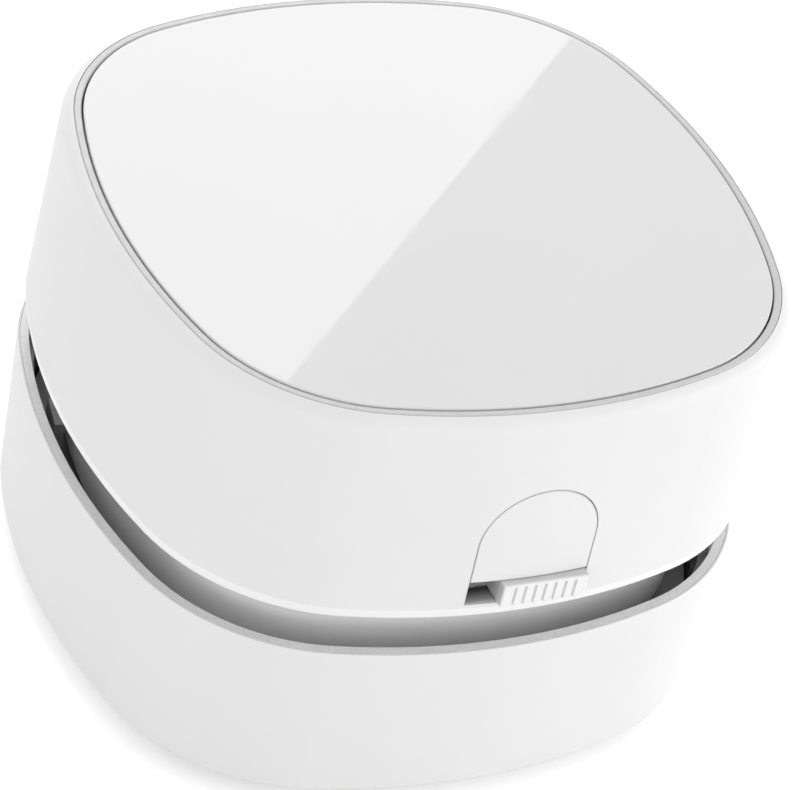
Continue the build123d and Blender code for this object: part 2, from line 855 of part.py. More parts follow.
with BuildPart() as motor_brushes:
    brush_x = commutator_radius + brush_gap
    brush_back = brush_x + brush_thickness
    arm_end = terminal_place + terminal_thickness / 2
    for side in (1, -1):
        brush_span = sorted((side * brush_x, side * brush_back))
        arm_span = sorted((side * brush_back, side * arm_end))
        Block(brush_span, (-brush_half, brush_half), (commutator_z + slide_gap, motor_top))
        Block(arm_span, (-brush_half, brush_half), (motor_top - brush_thickness, motor_top))
keep(motor_brushes, "motor_brushes")

with BuildPart() as motor_sleeve:
    Tube(tray_z, tray_z + sleeve_height, sleeve_outer, sleeve_inner)
keep(motor_sleeve, "motor_sleeve")


# ---- Batteries, contacts and tray ----

for name, side in (("left", -1), ("right", 1)):
    with BuildPart() as cell:
        with Locations(Location((side * cell_place, side * -cell_back, cell_z), (side * 90, 0, 0))):
            Cylinder(cell_radius, cell_body, align=(Align.CENTER, Align.CENTER, Align.MIN))
            Cylinder(
                cell_nub_radius,
                cell_body + cell_nub,
                align=(Align.CENTER, Align.CENTER, Align.MIN),
            )
        fillet(cell.edges().filter_by(GeomType.CIRCLE), cell_edge)
    keep(cell, f"battery_{name}")

with BuildPart() as springs:
    for side in (-1, 1):
        spring_y = bay_half - contact - spring_wire - spring_gap
        with BuildLine():
            turns = Helix(
                spring_pitch,
                spring_room - 2 * (spring_wire + spring_gap),
                spring_radius,
                center=(side * cell_place, side * spring_y, cell_z),
                direction=(0, -side, 0),
                cone_angle=-spring_cone,
            )
        with BuildSketch(Plane(turns @ 0, z_dir=turns % 0)):
            Circle(spring_wire)
        sweep(is_frenet=True)
keep(springs, "battery_springs")

with BuildPart() as end_contacts:
    for side in (-1, 1):
        low_x = side * cell_place - contact_width / 2
        Block(
            (low_x, low_x + contact_width),
            (-bay_half, contact - bay_half),
            (contact_z, contact_z + contact_height),
        )
keep(end_contacts, "end_contacts")

with BuildPart() as bridge_contact:
    Block((-bridge_x, bridge_x), (bay_half - contact, bay_half), (contact_z, contact_z + contact_height))
keep(bridge_contact, "bridge_contact")

with BuildPart() as tray:
    with BuildSketch(Plane.XY.offset(tray_z)):
        Squircle(head_half(tray_z) - head_wall - tray_inset)
    extrude(amount=tray_floor)
    for side in (-1, 1):
        with BuildSketch(Plane.XY.offset(tray_z)):
            with Locations((side * cell_place, 0)):
                Rectangle(2 * (cell_half + tray_wall), 2 * (bay_half + tray_wall))
                Rectangle(2 * cell_half, 2 * (bay_half + seat_gap), mode=Mode.SUBTRACT)
        extrude(amount=tray_floor + tray_wall_height)
        with BuildSketch(Plane.XY.offset(tray_z)):
            with Locations((side * cell_place, 0)):
                with GridLocations(1, rib_offset, 1, 3):
                    Rectangle(2 * cell_half, tray_wall)
        extrude(amount=tray_floor + rib_height)
        with Locations(Location((side * cell_place, 0, cell_z), (90, 0, 0))):
            Cylinder(cell_half, 2 * bay_half, mode=Mode.SUBTRACT)
    with BuildSketch(Plane.XY.offset(tray_z)):
        with towers_at():
            Circle(tower_radius)
    extrude(amount=ledge_z - ledge - tray_z)
    with BuildSketch(Plane.XY.offset(deck_top)):
        with deck_screws_at():
            Circle(boss_radius)
    extrude(amount=tray_stand)
    Tube(tray_z, tray_wall_z, sleeve_outer + seat_gap, mode=Mode.SUBTRACT)
    Block(
        (-bridge_reach, bridge_reach),
        (bay_half - contact - seat_gap, bay_half + seat_gap),
        (contact_z - seat_gap, tray_wall_z),
        mode=Mode.SUBTRACT,
    )
    Block(
        (-notch_half - notch_room, notch_half + notch_room),
        (-shell_reach, board_back + slide_gap),
        (tray_z, tray_wall_z),
        mode=Mode.SUBTRACT,
    )
    LeaningBlock(deck_top, top_z, head_half, head_wall + slide_gap, mode=Mode.INTERSECT)
    with BuildSketch(Plane.XY.offset(deck_top)):
        with deck_screws_at():
            Circle(shank_radius + seat_gap / 2)
    extrude(amount=tray_stand + tray_floor, mode=Mode.SUBTRACT)
    with BuildSketch(Plane.XY.offset(ledge_z - ledge)):
        with towers_at():
            Circle(shank_radius + seat_gap / 2)
    extrude(amount=-tray_screw_length, mode=Mode.SUBTRACT)
keep(tray, "battery_tray")

with BuildPart() as tray_screws:
    with Locations((0, 0, ledge_z - seat_gap)):
        with towers_at():
            Screw(tray_screw_length, head=tray_screw_head)
keep(tray_screws, "tray_screws")


# ---- Head shell and trim ring ----

with BuildPart() as head_shell:
    LeaningBlock(head_z, top_z, head_half)
    fillet(head_shell.edges().group_by(Axis.Z)[-1], shoulder_radius)
    lower_face = head_shell.faces().sort_by(Axis.Z)[0]
    chamfer(lower_face.edges(), head_bevel_inset, head_bevel, reference=lower_face)
    fillet(head_shell.edges().group_by(Axis.Z)[0], head_edge_radius)
    LeaningBlock(head_z - overshoot, ledge_z - ledge, head_half, head_wall, mode=Mode.SUBTRACT)
    with BuildSketch(Plane.XY.offset(ledge_z)):
        Squircle(half_width - ring_inset)
    extrude(amount=top_z - ledge_z, mode=Mode.SUBTRACT)
    with BuildSketch(Plane.XY.offset(ledge_z)):
        Squircle(half_width - bay_inset)
    extrude(amount=-ledge, mode=Mode.SUBTRACT)
    with BuildSketch(Plane.XY.offset(ledge_z)):
        with magnets_at():
            Circle(magnet_radius + seat_gap)
    extrude(amount=-keeper_height - seat_gap, mode=Mode.SUBTRACT)
    with Locations((0, 0, ledge_z)):
        with towers_at():
            cut_screw_hole(tray_screw_head)
    Block(
        (-shelf_half, shelf_half),
        (shelf_root - half_width, switch_back),
        (head_z + shelf_rise, slot_bottom),
    )
    with BuildSketch(Plane.XZ):
        Arch(slot_bottom, hairline)
    extrude(amount=shell_reach, mode=Mode.SUBTRACT)
keep(head_shell, "head_shell")

with BuildPart() as trim_ring:
    with BuildSketch(Plane.XY.offset(ledge_z)):
        Squircle(half_width - ring_inset - seat_gap / 2)
        Squircle(half_width - ring_inset - ring_width, mode=Mode.SUBTRACT)
    extrude(amount=top_z - ring_drop - ledge_z)
    chamfer(trim_ring.edges().group_by(Axis.Z)[-1], ring_bevel)
keep(trim_ring, "trim_ring")

with BuildPart() as lid_keepers:
    with BuildSketch(Plane.XY.offset(ledge_z - keeper_height - seat_gap)):
        with magnets_at():
            Circle(magnet_radius)
    extrude(amount=keeper_height)
keep(lid_keepers, "lid_keepers")


# ---- Lid ----

with BuildPart() as top_panel:
    with BuildSketch(Plane.XY.offset(panel_z)):
        Squircle(panel_half)
    extrude(amount=panel)
    fillet(top_panel.edges().group_by(Axis.Z)[-1], panel_edge)
keep(top_panel, "top_panel")

with BuildPart() as lid_carrier:
    with BuildSketch(Plane.XY.offset(ledge_z)):
        Squircle(half_width - carrier_inset)
    extrude(amount=panel_z - ledge_z)
    with BuildSketch(Plane.XY.offset(ledge_z)):
        Squircle(half_width - bay_inset - slide_gap)
        Squircle(half_width - bay_inset - slide_gap - carrier_skirt_wall, mode=Mode.SUBTRACT)
    extrude(amount=-carrier_skirt)
    with BuildSketch(Plane.XY.offset(ledge_z)):
        with magnets_at():
            Circle(magnet_radius + seat_gap)
    extrude(amount=magnet_height + seat_gap, mode=Mode.SUBTRACT)
keep(lid_carrier, "lid_carrier")

with BuildPart() as lid_magnets:
    with BuildSketch(Plane.XY.offset(ledge_z + seat_gap)):
        with magnets_at():
            Circle(magnet_radius)
    extrude(amount=magnet_height)
keep(lid_magnets, "lid_magnets")


# ---- Switch ----

with BuildPart() as switch_plate:
    LeaningBlock(head_z, top_z - shoulder_radius, head_half)
    with BuildSketch(Plane.XZ):
        Arch(slot_top)
    extrude(amount=shell_reach, mode=Mode.INTERSECT)
    Block((-shell_reach, shell_reach), (switch_back, 0), (head_z, top_z), mode=Mode.SUBTRACT)
    with BuildSketch(Plane.XZ.offset(-switch_back)):
        Arch(slot_top + flange_margin, flange_margin)
    extrude(amount=-plate_flange)
keep(switch_plate, "switch_plate")

with BuildPart() as switch_knob:
    Block((knob_left, knob_right), (knob_front, flange_front), knob_z)
    front_corners = switch_knob.faces().sort_by(Axis.Y)[0].edges()
    fillet(front_corners, knob_edge)
    Block(
        (-flange_half, flange_half + knob_travel),
        (flange_front, flange_back),
        (slot_bottom - flange_lap, slot_top + flange_rise),
    )
    for groove in range(groove_count):
        middle = knob_left + groove_margin + groove * groove_pitch
        Block(
            (middle - groove_width / 2, middle + groove_width / 2),
            (knob_front - overshoot, knob_front + groove_depth),
            (knob_z[0] - overshoot, knob_z[1] - groove_land),
            mode=Mode.SUBTRACT,
        )
keep(switch_knob, "switch_knob")

with BuildPart() as switch_body:
    Block(
        (body_x - body_length / 2, body_x + body_length / 2),
        (body_front, board_front),
        (deck_top, deck_top + body_height),
    )
    Block(
        (stem_x - knob_travel - stem_width / 2 - slide_gap, stem_x + stem_width / 2 + slide_gap),
        (body_front, body_front + stem_depth + slide_gap),
        (stem_z - slide_gap, stem_z + stem_height + slide_gap),
        mode=Mode.SUBTRACT,
    )
keep(switch_body, "switch_body")

with BuildPart() as switch_stem:
    Block(
        (stem_x - stem_width / 2, stem_x + stem_width / 2),
        (flange_back, body_front + stem_depth),
        (stem_z, stem_z + stem_height),
    )
keep(switch_stem, "switch_stem")

with BuildPart() as switch_board:
    Block(
        (-board_width / 2, board_width / 2),
        (board_front, board_back),
        (deck_top, deck_top + board_height),
    )
keep(switch_board, "switch_board")


# ---- Lead wires ----

wire_top = motor_top + end_cap + terminal_height - wire_radius
tab_top = contact_z + contact_height + wire_radius
tab_x = cell_place - contact_width / 2 + tab_margin
tab_y = wire_radius - bay_half
post_x = terminal_place + terminal_thickness / 2 + wire_radius
pad_y = board_back + wire_radius
pad_z = deck_top + board_height - pad_drop
wire_routes = (
    [
        (tab_x, tab_y, tab_top),
        (tab_x, tab_y, wire_top),
        (post_x, -right_run, wire_top),
        (post_x, wire_end, wire_top),
    ],
    [
        (-tab_x, tab_y, tab_top),
        (-tab_x, tab_y, wire_top - crest_drop),
        (left_pad, pad_y, wire_top - pad_rise),
        (left_pad, pad_y, pad_z),
    ],
    [
        (right_pad, pad_y, pad_z),
        (right_pad, pad_y, wire_top - pad_lead),
        (-post_x, -left_run, wire_top),
        (-post_x, wire_end, wire_top),
    ],
)
with BuildPart() as lead_wires:
    for route in wire_routes:
        with BuildLine() as path:
            FilletPolyline(*route, radius=wire_bend)
        with BuildSketch(Plane(path.line @ 0, z_dir=path.line % 0)):
            Circle(wire_radius)
        sweep(path=path.line)
keep(lead_wires, "lead_wires")
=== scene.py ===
from math import cos, pi, radians, sin, sqrt
from random import Random

import bmesh
import bpy
from mathutils import Matrix, Vector


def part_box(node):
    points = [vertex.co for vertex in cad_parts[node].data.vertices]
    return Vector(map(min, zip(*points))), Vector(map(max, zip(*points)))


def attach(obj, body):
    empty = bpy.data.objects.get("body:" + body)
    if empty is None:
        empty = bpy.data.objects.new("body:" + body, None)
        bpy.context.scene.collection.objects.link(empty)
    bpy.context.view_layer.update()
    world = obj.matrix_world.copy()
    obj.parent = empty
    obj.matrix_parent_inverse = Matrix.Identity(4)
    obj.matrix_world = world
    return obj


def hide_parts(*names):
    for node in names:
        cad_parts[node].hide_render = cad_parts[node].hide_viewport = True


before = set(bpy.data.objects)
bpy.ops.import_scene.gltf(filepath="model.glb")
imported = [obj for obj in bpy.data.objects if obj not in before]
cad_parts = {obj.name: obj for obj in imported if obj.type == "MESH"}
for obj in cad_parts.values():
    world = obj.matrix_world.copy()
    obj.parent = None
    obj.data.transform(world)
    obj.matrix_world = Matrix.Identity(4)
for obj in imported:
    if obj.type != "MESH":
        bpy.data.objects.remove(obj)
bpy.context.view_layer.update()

mm = 0.001

# ---- Camera ----

camera_azimuth = radians(-31.516)
camera_elevation = radians(38.019)
camera_roll = radians(13.881)
camera_distance = 502.523 * mm
camera_target = Vector((8.498, 9.935, 19.514)) * mm
lens = 181.44
sensor = 36.0


def frame_camera():
    """The camera: turned about the object, tipped down on it and rolled about its own axis."""
    back = Vector((
        sin(camera_azimuth) * cos(camera_elevation),
        -cos(camera_azimuth) * cos(camera_elevation),
        sin(camera_elevation),
    ))
    level_right = Vector((cos(camera_azimuth), sin(camera_azimuth), 0.0))
    level_up = back.cross(level_right)
    right = level_right * cos(camera_roll) + level_up * sin(camera_roll)
    up = level_up * cos(camera_roll) - level_right * sin(camera_roll)
    data = bpy.data.cameras.new("camera")
    data.lens = lens
    data.sensor_width = sensor
    data.clip_start = 0.05
    data.clip_end = 20.0
    camera = bpy.data.objects.new("camera", data)
    bpy.context.scene.collection.objects.link(camera)
    camera.matrix_world = Matrix((right, up, back)).transposed().to_4x4()
    camera.location = camera_target + back * camera_distance
    bpy.context.scene.camera = camera
    return camera


camera = frame_camera()

# ---- Light, floor and surroundings ----

white = (1.0, 1.0, 1.0, 1.0)
sky_level = 0.70
floor_width = 6.0
floor_grey = 0.83
floor_glow = 0.50
lamp_distance = 0.9
card_distance = 0.62
card_length = 0.95
card_depth = 0.46
card_radiance = 1.75
split_far = Vector((31.6, 27.5)) * mm  # where the mirrored card's edge crosses the lid
split_near = Vector((-30.2, -30.3)) * mm


def seen_directly(tree):
    """1 for what the camera sees, straight or in a mirror or glass, and 0 for light on the object."""
    path = tree.nodes.new("ShaderNodeLightPath")
    total = path.outputs["Is Camera Ray"]
    for name in ("Is Glossy Ray", "Is Transmission Ray"):
        add = tree.nodes.new("ShaderNodeMath")
        add.operation = "MAXIMUM"
        tree.links.new(total, add.inputs[0])
        tree.links.new(path.outputs[name], add.inputs[1])
        total = add.outputs[0]
    return total


def surroundings():
    """An even pale room, seen as white."""
    world = bpy.data.worlds.new("room")
    world.use_nodes = True
    tree = world.node_tree
    light = tree.nodes["Background"]
    light.inputs["Color"].default_value = white
    light.inputs["Strength"].default_value = sky_level
    seen = tree.nodes.new("ShaderNodeBackground")
    seen.inputs["Color"].default_value = white
    seen.inputs["Strength"].default_value = 1.0
    mix = tree.nodes.new("ShaderNodeMixShader")
    tree.links.new(seen_directly(tree), mix.inputs["Fac"])
    tree.links.new(light.outputs[0], mix.inputs[1])
    tree.links.new(seen.outputs[0], mix.inputs[2])
    tree.links.new(mix.outputs[0], tree.nodes["World Output"].inputs["Surface"])
    bpy.context.scene.world = world


def lay_floor():
    """A pale floor that looks white away from the object and keeps its shadow; clear from below."""
    bpy.ops.mesh.primitive_plane_add(size=floor_width, location=(0, 0, 0))
    floor = bpy.context.object
    floor.name = "floor"
    material = bpy.data.materials.new("pale_floor")
    material.use_nodes = True
    tree = material.node_tree
    tree.nodes.remove(tree.nodes["Principled BSDF"])
    matt = tree.nodes.new("ShaderNodeBsdfDiffuse")
    matt.inputs["Color"].default_value = (floor_grey, floor_grey, floor_grey, 1.0)
    glow = tree.nodes.new("ShaderNodeEmission")
    strength = tree.nodes.new("ShaderNodeMath")
    strength.operation = "MULTIPLY"
    strength.inputs[1].default_value = floor_glow
    tree.links.new(seen_directly(tree), strength.inputs[0])
    tree.links.new(strength.outputs[0], glow.inputs["Strength"])
    add = tree.nodes.new("ShaderNodeAddShader")
    tree.links.new(matt.outputs[0], add.inputs[0])
    tree.links.new(glow.outputs[0], add.inputs[1])
    side = tree.nodes.new("ShaderNodeNewGeometry")
    clear = tree.nodes.new("ShaderNodeBsdfTransparent")
    mix = tree.nodes.new("ShaderNodeMixShader")
    tree.links.new(side.outputs["Backfacing"], mix.inputs["Fac"])
    tree.links.new(add.outputs[0], mix.inputs[1])
    tree.links.new(clear.outputs[0], mix.inputs[2])
    tree.links.new(mix.outputs[0], tree.nodes["Material Output"].inputs["Surface"])
    floor.data.materials.append(material)


def softbox(name, centre, along, across, length, depth, radiance):
    """A rectangular lamp with even brightness, which shines against the cross product along x across."""
    data = bpy.data.lights.new(name, "AREA")
    data.shape = "RECTANGLE"
    data.size = length
    data.size_y = depth
    data.energy = radiance * pi * length * depth
    lamp = bpy.data.objects.new(name, data)
    bpy.context.scene.collection.objects.link(lamp)
    away = along.cross(across)
    lamp.matrix_world = Matrix((along, across, away)).transposed().to_4x4()
    lamp.location = centre
    lamp.visible_camera = False


def aimed_softbox(name, azimuth, elevation, length, depth, radiance):
    """A softbox in that direction from the object, facing it."""
    a, e = radians(azimuth), radians(elevation)
    away = Vector((sin(a) * cos(e), -cos(a) * cos(e), sin(e)))
    along = Vector((cos(a), sin(a), 0.0))
    softbox(name, away * lamp_distance, along, away.cross(along), length, depth, radiance)


def mirrored_card():
    """The softbox that the gloss lid mirrors: its edge is the diagonal across the lid."""
    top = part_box("top_panel")[1].z
    eye = Vector((camera.location.x, camera.location.y, 2 * top - camera.location.z))
    points = [Vector((p.x, p.y, top)) for p in (split_near, split_far)]
    middle = (points[0] + points[1]) / 2
    away = (middle - eye).normalized()
    plane_point = middle + away * card_distance
    edge = []
    for point in points:
        ray = point - eye
        edge.append(eye + ray * ((plane_point - eye).dot(away) / ray.dot(away)))
    along = (edge[1] - edge[0]).normalized()
    across = away.cross(along)
    centre = (edge[0] + edge[1]) / 2 + across * card_depth / 2
    softbox("card", centre, along, across, card_length, card_depth, card_radiance)


surroundings()
lay_floor()
mirrored_card()
aimed_softbox("key", azimuth=62.0, elevation=12.0, length=0.7, depth=0.5, radiance=3.0)
aimed_softbox("fill", azimuth=-60.0, elevation=12.0, length=0.6, depth=0.5, radiance=0.8)
aimed_softbox("front", azimuth=-32.0, elevation=7.0, length=0.7, depth=0.26, radiance=1.35)

# ---- What finishes are made of ----


def new_finish(name, colour, roughness, metallic=0.0, ior=1.5):
    """A material with its shader's plain values set; returns it with its tree and shader."""
    material = bpy.data.materials.new(name)
    material.use_nodes = True
    tree = material.node_tree
    shader = tree.nodes["Principled BSDF"]
    shader.inputs["Base Color"].default_value = (*colour, 1.0)
    shader.inputs["Roughness"].default_value = roughness
    shader.inputs["Metallic"].default_value = metallic
    shader.inputs["IOR"].default_value = ior
    return material, tree, shader


def coat(tree, shader, colour, roughness, height, depth, strength=1.0):
    """Gives the shader its colour and roughness, and raises and sinks it by up to `depth`."""
    tree.links.new(colour, shader.inputs["Base Color"])
    tree.links.new(roughness, shader.inputs["Roughness"])
    bump = tree.nodes.new("ShaderNodeBump")
    bump.inputs["Strength"].default_value = strength
    bump.inputs["Distance"].default_value = depth
    tree.links.new(height, bump.inputs["Height"])
    tree.links.new(bump.outputs["Normal"], shader.inputs["Normal"])


def place(tree, stretch=(1.0, 1.0, 1.0), turn=(0.0, 0.0, 0.0), middle=(0.0, 0.0, 0.0)):
    """The piece's own coordinates, moved so that `middle` is the origin, turned and stretched."""
    coordinates = tree.nodes.new("ShaderNodeTexCoord")
    mapping = tree.nodes.new("ShaderNodeMapping")
    mapping.vector_type = "TEXTURE"
    mapping.inputs["Location"].default_value = middle
    mapping.inputs["Rotation"].default_value = turn
    mapping.inputs["Scale"].default_value = stretch
    tree.links.new(coordinates.outputs["Object"], mapping.inputs["Vector"])
    return mapping.outputs["Vector"]


def axes_of(tree, **at):
    """The coordinates one by one, as outputs named X, Y and Z."""
    axes = tree.nodes.new("ShaderNodeSeparateXYZ")
    tree.links.new(place(tree, **at), axes.inputs[0])
    return axes.outputs


def cloud(tree, size, detail=2.0, **at):
    """Soft uneven patches about `size` across, mostly from 0.3 to 0.7."""
    texture = tree.nodes.new("ShaderNodeTexNoise")
    texture.inputs["Scale"].default_value = 1.0 / size
    texture.inputs["Detail"].default_value = detail
    tree.links.new(place(tree, **at), texture.inputs["Vector"])
    return texture.outputs["Fac"]


def cells(tree, size):
    """Distance to the nearest of scattered points about `size` apart."""
    texture = tree.nodes.new("ShaderNodeTexVoronoi")
    texture.inputs["Scale"].default_value = 1.0 / size
    tree.links.new(place(tree), texture.inputs["Vector"])
    return texture.outputs["Distance"]


def rings(tree, pitch, axis="Z"):
    """Fine grooves `pitch` apart along an axis, from 0 to 1."""
    texture = tree.nodes.new("ShaderNodeTexWave")
    texture.bands_direction = axis
    texture.inputs["Scale"].default_value = 2 * pi / 20 / pitch
    texture.inputs["Distortion"].default_value = 0.4
    texture.inputs["Detail Scale"].default_value = 1.5
    tree.links.new(place(tree), texture.inputs["Vector"])
    return texture.outputs["Fac"]


def math(tree, operation, first, second=0.0):
    """A sum worked out at every place; each value may be a number or another node's output."""
    node = tree.nodes.new("ShaderNodeMath")
    node.operation = operation
    for socket, value in zip(node.inputs, (first, second)):
        if isinstance(value, (int, float)):
            socket.default_value = value
        else:
            tree.links.new(value, socket)
    return node.outputs[0]


def times(tree, first, second):
    return math(tree, "MULTIPLY", first, second)


def above(tree, value, limit):
    return math(tree, "GREATER_THAN", value, limit)


def below(tree, value, limit):
    return math(tree, "LESS_THAN", value, limit)


def size_of(tree, value):
    return math(tree, "ABSOLUTE", value)


def between(tree, value, start, end, low=0.0, high=1.0):
    """Goes evenly from `low` to `high` while the value goes from `start` to `end`."""
    node = tree.nodes.new("ShaderNodeMapRange")
    for name, number in (("From Min", start), ("From Max", end), ("To Min", low), ("To Max", high)):
        node.inputs[name].default_value = number
    tree.links.new(value, node.inputs["Value"])
    return node.outputs["Result"]


def patches(tree, size, detail, low=0.0, high=1.0):
    """Uneven patches about `size` across, from `low` to `high`."""
    return between(tree, cloud(tree, size, detail), 0.3, 0.7, low, high)


def colour_sockets(node):
    """A Mix node's colour sockets, found by kind because its number sockets share their names."""
    return [s for s in node.inputs if s.type == "RGBA"], [s for s in node.outputs if s.type == "RGBA"]


def blend_colours(tree, amount, first, second):
    """Colour from `first` to `second` by amount; each may be a colour or another node's output."""
    node = tree.nodes.new("ShaderNodeMix")
    node.data_type = "RGBA"
    tree.links.new(amount, node.inputs[0])
    (low, high), (result,) = colour_sockets(node)
    for socket, value in ((low, first), (high, second)):
        if isinstance(value, tuple):
            socket.default_value = (*value, 1.0)
        else:
            tree.links.new(value, socket)
    return result


def tinted(tree, body, amount, share, colour):
    """The body colour, changed towards another by that share of the amount."""
    return blend_colours(tree, times(tree, amount, share), body, colour)


def grey(level):
    return level, level, level


def scaled(colour, factor):
    return tuple(min(1.0, channel * factor) for channel in colour)


def mottled(tree, colour, size, detail, spread):
    """The colour, darker and lighter by up to `spread` in patches."""
    amount = patches(tree, size, detail)
    return blend_colours(tree, amount, scaled(colour, 1 - spread), scaled(colour, 1 + spread))


def edge_rub(tree, reach, patch):
    """1 where hands and handling have rubbed the edges, in uneven patches, and 0 on the flats."""
    rounded = tree.nodes.new("ShaderNodeBevel")
    rounded.samples = 4
    rounded.inputs["Radius"].default_value = reach
    surface = tree.nodes.new("ShaderNodeNewGeometry")
    dot = tree.nodes.new("ShaderNodeVectorMath")
    dot.operation = "DOT_PRODUCT"
    tree.links.new(rounded.outputs["Normal"], dot.inputs[0])
    tree.links.new(surface.outputs["Normal"], dot.inputs[1])
    edge = between(tree, dot.outputs["Value"], 0.985, 0.87)
    return times(tree, edge, between(tree, cloud(tree, patch), 0.35, 0.6))


# ---- Plastics ----

front_wall = -38.0 * mm  # the front wall lies before this
arch_half = 7.46 * mm  # middle of the switch plate to its hairline
arch_hidden = 1.1 * mm  # top of the switch plate to its hairline
seam_reach = 0.08 * mm
seam_fade = 0.15 * mm
slot_floor = 33.3 * mm
slot_roof = 36.7 * mm
slot_mouth = -41.5 * mm
slot_back = -39.4 * mm
bevel_height = 1.3 * mm
bevel_fade = 0.2 * mm
plastic_rub = 0.25 * mm  # how far hands rub round a moulded edge


def moulded(name, colour, roughness, grain=0.14, depth=0.001, flow=12.0, uneven=0.012, rub=0.5):
    """Moulded plastic: flow patches in the colour, an eroded mould's fine grain, rubbed edges."""
    material, tree, shader = new_finish(name, colour, roughness)
    worn = edge_rub(tree, plastic_rub, 3.0 * mm)
    edges = scaled(colour, 1.06 if colour[0] > 0.4 else 1.5)
    body = tinted(tree, mottled(tree, colour, flow * mm, 3.0, uneven), worn, rub, edges)
    patchy = patches(tree, 4.0 * mm, 4.0, roughness - 0.04, roughness + 0.04)
    smooth = math(tree, "SUBTRACT", patchy, times(tree, worn, 0.08))
    coat(tree, shader, body, smooth, cloud(tree, grain * mm), depth * mm)
    return material


def near_seam(tree, distance):
    """1 within the seam's reach of its line, fading out beyond."""
    return between(tree, size_of(tree, distance), seam_reach + seam_fade, seam_reach)


def seam_shade_round_the_arch(tree, axes):
    """1 along the switch plate's outline, where a grey line of painted shade lies over the hairline, and
    0 elsewhere.
    """
    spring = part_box("switch_plate")[1].z - arch_half - arch_hidden
    across = size_of(tree, axes["X"])
    height = math(tree, "SUBTRACT", axes["Z"], spring)
    square = math(tree, "ADD", times(tree, across, across), times(tree, height, height))
    from_round = math(tree, "SUBTRACT", math(tree, "SQRT", square), arch_half)
    round_part = times(tree, near_seam(tree, from_round), above(tree, height, 0.0))
    from_straight = math(tree, "SUBTRACT", across, arch_half)
    straight = times(tree, near_seam(tree, from_straight), below(tree, height, 0.0))
    straight = times(tree, straight, above(tree, axes["Z"], slot_floor))
    outline = math(tree, "MAXIMUM", round_part, straight)
    return times(tree, outline, below(tree, axes["Y"], front_wall))


def bevel_of_the_head(tree, axes):
    """1 on the bevel along the head's lower edge, and 0 elsewhere."""
    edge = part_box("head_shell")[0].z
    start = edge - 0.1 * mm
    end = edge + bevel_height
    rising = between(tree, axes["Z"], start - bevel_fade, start)
    return times(tree, rising, between(tree, axes["Z"], end + bevel_fade, end))


def inside_the_slot(tree, axes):
    """1 inside the slot of the switch and 0 elsewhere."""
    wide = below(tree, size_of(tree, axes["X"]), arch_half + 0.09 * mm)
    over_floor = above(tree, axes["Z"], slot_floor - 0.05 * mm)
    under_roof = below(tree, axes["Z"], slot_roof + 0.05 * mm)
    return times(tree, wide, times(tree, over_floor, under_roof))


def shell_plastic():
    """White satin ABS of the housings: a painted highlight on the bevel along the head's lower edge,
    which is also smoother there, and painted shade in the seam round the switch plate and inside the
    slot."""
    colour = grey(0.87)
    material, tree, shader = new_finish("shell_white", colour, 0.45)
    shader.inputs["Specular IOR Level"].default_value = 0.3
    axes = axes_of(tree)
    bevel = bevel_of_the_head(tree, axes)
    body = mottled(tree, colour, 16.0 * mm, 3.0, 0.008)
    # Painted highlight: the bevel along the head's lower edge is given a lighter grey.
    body = blend_colours(tree, bevel, body, grey(0.97))
    # Painted shade: a grey line along the seam round the switch plate.
    body = tinted(tree, body, seam_shade_round_the_arch(tree, axes), 0.8, grey(0.64))
    # Painted shade inside the slot: grey near its mouth, near black further back.
    inside = inside_the_slot(tree, axes)
    depth = between(tree, axes["Y"], slot_mouth, slot_back)
    depth = times(tree, depth, below(tree, axes["Y"], front_wall))
    slot_shade = between(tree, depth, 0.0, 0.2, 0.0, 0.5)
    body = tinted(tree, body, inside, slot_shade, grey(0.40))
    body = tinted(tree, body, inside, depth, grey(0.07))
    worn = edge_rub(tree, plastic_rub, 3.0 * mm)
    body = tinted(tree, body, worn, 0.5, grey(0.93))
    patchy = patches(tree, 5.0 * mm, 4.0, 0.42, 0.48)
    polish = times(tree, math(tree, "MAXIMUM", worn, bevel), 0.12)
    smooth = math(tree, "SUBTRACT", patchy, polish)
    coat(tree, shader, body, smooth, cloud(tree, 0.16 * mm), 0.0008 * mm)
    return material


def knob_plastic():
    """The knob's white ABS: white on the ribbed front, with patchy painted shade on the flanks and in
    the grooves.
    """
    colour = grey(0.92)
    material, tree, shader = new_finish("knob_white", colour, 0.36)
    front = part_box("switch_knob")[0].y
    groove = front + 0.5 * mm
    depth = axes_of(tree)["Y"]
    # Painted shade, deeper behind the front face: in the grooves and on the flanks.
    groove_shade = between(tree, depth, front + 0.12 * mm, groove, 0.0, 0.55)
    flank_shade = between(tree, depth, groove, front + 1.6 * mm, 0.0, 0.8)
    patchy = patches(tree, 1.2 * mm, 3.0, 0.85, 1.0)
    body = tinted(tree, colour, math(tree, "MAXIMUM", groove_shade, flank_shade), patchy, grey(0.36))
    body = tinted(tree, body, edge_rub(tree, 0.2 * mm, 1.5 * mm), 0.5, grey(0.96))
    smooth = between(tree, patchy, 0.85, 1.0, 0.40, 0.32)
    coat(tree, shader, body, smooth, cloud(tree, 0.14 * mm), 0.0008 * mm)
    return material


def gloss_sheet():
    """The lid's polished white sheet, with a breath of smudges and hair-fine scratches."""
    colour = grey(0.80)
    material, tree, shader = new_finish("lid_gloss_white", colour, 0.03)
    body = mottled(tree, colour, 20.0 * mm, 2.0, 0.006)
    body = tinted(tree, body, edge_rub(tree, 0.2 * mm, 4.0 * mm), 0.6, grey(0.9))
    smudges = between(tree, cloud(tree, 9.0 * mm, 5.0), 0.45, 0.75, 0.018, 0.05)
    hairs = cloud(tree, 0.5 * mm, 1.0, stretch=(40.0, 1.0, 1.0), turn=(0, 0, 0.6))
    rough = math(tree, "ADD", smudges, between(tree, hairs, 0.68, 0.74, 0.0, 0.06))
    coat(tree, shader, body, rough, cloud(tree, 6.0 * mm, 1.0), 0.0006 * mm)
    return material


# ---- Paint, metal, rubber and fibre ----


